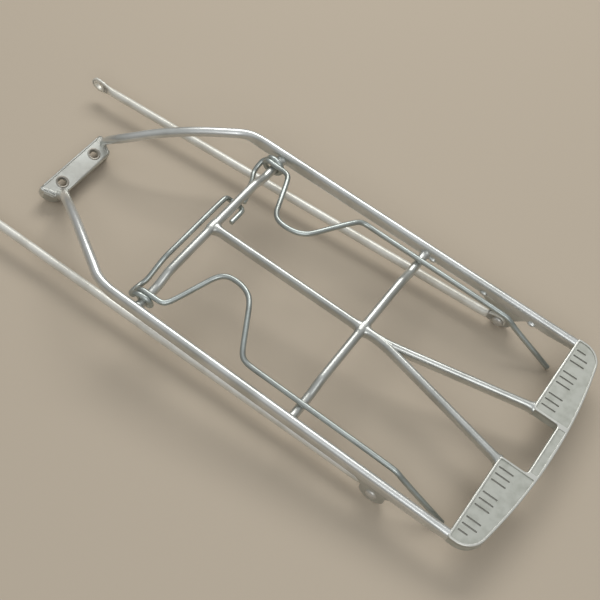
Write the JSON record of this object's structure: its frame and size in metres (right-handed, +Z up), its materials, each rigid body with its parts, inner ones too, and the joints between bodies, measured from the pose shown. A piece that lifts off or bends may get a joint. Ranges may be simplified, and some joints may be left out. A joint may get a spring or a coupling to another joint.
{
  "type": "bicycle rear rack",
  "caption": "Cast bicycle rear rack with sprung clip wires, a rear plate with a notch, swinging stays and a bracket for the frame.",
  "frame": {"origin": "centre of the bounding box, on the floor plane under the standing rack", "axes": "+X toward the front of the bicycle, +Y to the left, +Z up; the rack stands on its bracket ends and stay lugs, so its deck leans up toward the front by about five degrees"},
  "size_m": [0.3644, 0.137, 0.0421],
  "materials": {
    "casting": "polished cast aluminium",
    "plate_finish": "satin cast aluminium, polished rim",
    "spring_wire": "plain spring steel wire",
    "stays": "dull drawn rod with pressed eyes",
    "rivets": "dull headed rivet"
  },
  "bodies": {
    "deck": {"left_side_rail": "casting", "right_side_rail": "casting", "left_front_arm": "casting", "right_front_arm": "casting", "front_bracket": "casting", "front_cross_bar": "casting", "mid_cross_bar": "casting", "centre_rib": "casting", "left_rib_branch": "casting", "right_rib_branch": "casting", "rear_plate": "plate_finish", "left_stay_lug": "casting", "right_stay_lug": "casting", "left_stay_rivet": "rivets", "right_stay_rivet": "rivets", "left_clip_leg": "spring_wire", "right_clip_leg": "spring_wire"},
    "left_clip": {"left_clip_wire": "spring_wire"},
    "right_clip": {"right_clip_wire": "spring_wire"},
    "left_stay_arm": {"left_stay": "stays"},
    "right_stay_arm": {"right_stay": "stays"}
  },
  "joints": [
    {"name": "left_clip_hinge", "type": "hinge", "parent": "deck", "child": "left_clip", "pos_m": [0.03551, 0.055, 0.03403], "axis": [0, 1, 0], "range_deg": [0, 95], "stiffness_Nm_per_rad": 0.5, "springref_deg": -34.38},
    {"name": "right_clip_hinge", "type": "hinge", "parent": "deck", "child": "right_clip", "pos_m": [0.03551, -0.055, 0.03403], "axis": [0, 1, 0], "range_deg": [0, 95], "stiffness_Nm_per_rad": 0.5, "springref_deg": -34.38},
    {"name": "left_stay_pivot", "type": "hinge", "parent": "deck", "child": "left_stay_arm", "pos_m": [-0.11725, 0.0626, 0.0075], "axis": [0, 1, 0], "range_deg": [-3, 105]},
    {"name": "right_stay_pivot", "type": "hinge", "parent": "deck", "child": "right_stay_arm", "pos_m": [-0.11725, -0.0626, 0.0075], "axis": [0, 1, 0], "range_deg": [-3, 105]}
  ]
}
